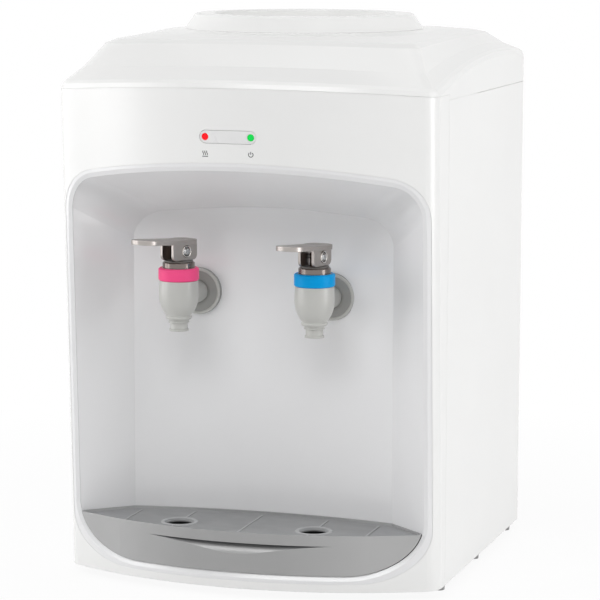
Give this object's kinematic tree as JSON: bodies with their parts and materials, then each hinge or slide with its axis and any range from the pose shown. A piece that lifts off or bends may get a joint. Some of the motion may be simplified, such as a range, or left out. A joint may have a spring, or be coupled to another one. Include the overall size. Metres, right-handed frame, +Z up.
{
  "type": "countertop water dispenser",
  "caption": "Countertop water dispenser with a bowed front alcove, two lever taps, a drip tray with grate, indicator lamps and a top seat for an upturned bottle.",
  "frame": {"origin": "on the table under the middle of the overall box", "axes": "+Z up, +X to the right seen from the front, -Y towards the user"},
  "size_m": [0.3, 0.342, 0.438],
  "materials": {
    "housing_white": "gloss moulded",
    "liner_grey": "gloss moulded",
    "tray_grey": "satin moulded",
    "tap_grey": "gloss moulded",
    "hot_pink": "gloss moulded",
    "ambient_blue": "gloss moulded",
    "chrome": "polished",
    "lever_silver": "satin",
    "steel": "plain",
    "sheet_white": "satin paint",
    "washer_white": "plain",
    "food_white": "plain moulded",
    "base_black": "plain moulded",
    "drain_grey": "plain moulded",
    "rubber": "plain",
    "silicone": "translucent",
    "window_clear": "frosted",
    "lamp_red": "tinted",
    "lamp_green": "tinted",
    "board_green": "lacquered"
  },
  "bodies": {
    "housing": {"top_cover": "housing_white", "front_panel": "housing_white", "side_panel_left": "housing_white", "side_panel_right": "housing_white", "alcove_liner": "liner_grey", "hot_tap_body": "tap_grey", "ambient_tap_body": "tap_grey", "tap_wall_flanges": "tap_grey", "hot_tap_ring": "hot_pink", "ambient_tap_ring": "ambient_blue", "tap_bonnets": "chrome", "hot_tank": "steel", "heater_band": "steel", "tank_strap": "steel", "reservoir_strap": "steel", "back_screws": "steel", "board_screws": "steel", "thermostats": "steel", "back_panel": "sheet_white", "reservoir": "food_white", "reservoir_lid": "food_white", "baffle": "food_white", "tap_wall_nuts": "food_white", "base": "base_black", "switch_housing": "base_black", "cord_gland": "base_black", "drain_spout": "drain_grey", "rubber_feet": "rubber", "tap_wall_gaskets": "rubber", "reservoir_gasket": "silicone", "ambient_hose": "silicone", "hot_hose": "silicone", "feed_hose": "silicone", "vent_hose": "silicone", "drain_hose": "silicone", "light_window": "window_clear", "hot_lamp": "lamp_red", "power_lamp": "lamp_green", "lamp_board": "board_green"},
    "drip_tray": {"drip_tray": "tray_grey"},
    "drip_grate": {"drip_grate": "tray_grey"},
    "bottle_seat": {"bottle_seat": "housing_white", "probe": "food_white", "probe_seal": "silicone"},
    "rocker": {"rocker": "base_black"},
    "drain_cap": {"drain_cap": "drain_grey"},
    "hot_swivel": {"hot_washer": "washer_white", "hot_spring": "steel"},
    "hot_valve": {"hot_stem": "steel", "hot_plug": "rubber"},
    "hot_handle": {"hot_lever": "lever_silver", "hot_pin": "steel"},
    "ambient_swivel": {"ambient_washer": "washer_white", "ambient_spring": "steel"},
    "ambient_valve": {"ambient_stem": "steel", "ambient_plug": "rubber"},
    "ambient_handle": {"ambient_lever": "lever_silver", "ambient_pin": "steel"}
  },
  "joints": [
    {"name": "tray_slide", "type": "slide", "parent": "housing", "child": "drip_tray", "axis": [0, -1, 0], "range_m": [0, 0.09]},
    {"name": "grate_lift", "type": "slide", "parent": "drip_tray", "child": "drip_grate", "axis": [0, 0, 1], "range_m": [0, 0.02]},
    {"name": "seat_lift", "type": "slide", "parent": "housing", "child": "bottle_seat", "axis": [0, 0, 1], "range_m": [0, 0.03]},
    {"name": "rocker_tilt", "type": "hinge", "parent": "housing", "child": "rocker", "pos_m": [0.095, 0.1514, 0.3], "axis": [1, 0, 0], "range_deg": [0, 16]},
    {"name": "cap_pull", "type": "slide", "parent": "housing", "child": "drain_cap", "axis": [0, 1, 0], "range_m": [0, 0.025]},
    {"name": "hot_swivel_turn", "type": "hinge", "parent": "housing", "child": "hot_swivel", "pos_m": [-0.0544, -0.1252, 0.2535], "axis": [0, 0, 1], "range_deg": [-66, 114]},
    {"name": "hot_valve_lift", "type": "slide", "parent": "hot_swivel", "child": "hot_valve", "axis": [0, 0, 1], "range_m": [0, 0.00252], "deforming": ["hot_spring"]},
    {"name": "hot_lever_press", "type": "hinge", "parent": "hot_valve", "child": "hot_handle", "pos_m": [-0.05387, -0.12401, 0.261], "axis": [0.9135, -0.4067, 0], "range_deg": [0, 14], "stiffness_Nm_per_rad": 0.5, "springref_deg": -8.59},
    {"name": "ambient_swivel_turn", "type": "hinge", "parent": "housing", "child": "ambient_swivel", "pos_m": [0.0544, -0.1252, 0.2535], "axis": [0, 0, 1], "range_deg": [-77, 103]},
    {"name": "ambient_valve_lift", "type": "slide", "parent": "ambient_swivel", "child": "ambient_valve", "axis": [0, 0, 1], "range_m": [0, 0.00252], "deforming": ["ambient_spring"]},
    {"name": "ambient_lever_press", "type": "hinge", "parent": "ambient_valve", "child": "ambient_handle", "pos_m": [0.05469, -0.12393, 0.261], "axis": [0.9744, -0.225, 0], "range_deg": [0, 14], "stiffness_Nm_per_rad": 0.5, "springref_deg": -8.59}
  ],
  "couplings": [
    {"joint": "hot_lever_press", "follows": "hot_valve_lift", "rad_per_m": 97.087},
    {"joint": "ambient_lever_press", "follows": "ambient_valve_lift", "rad_per_m": 97.087}
  ]
}
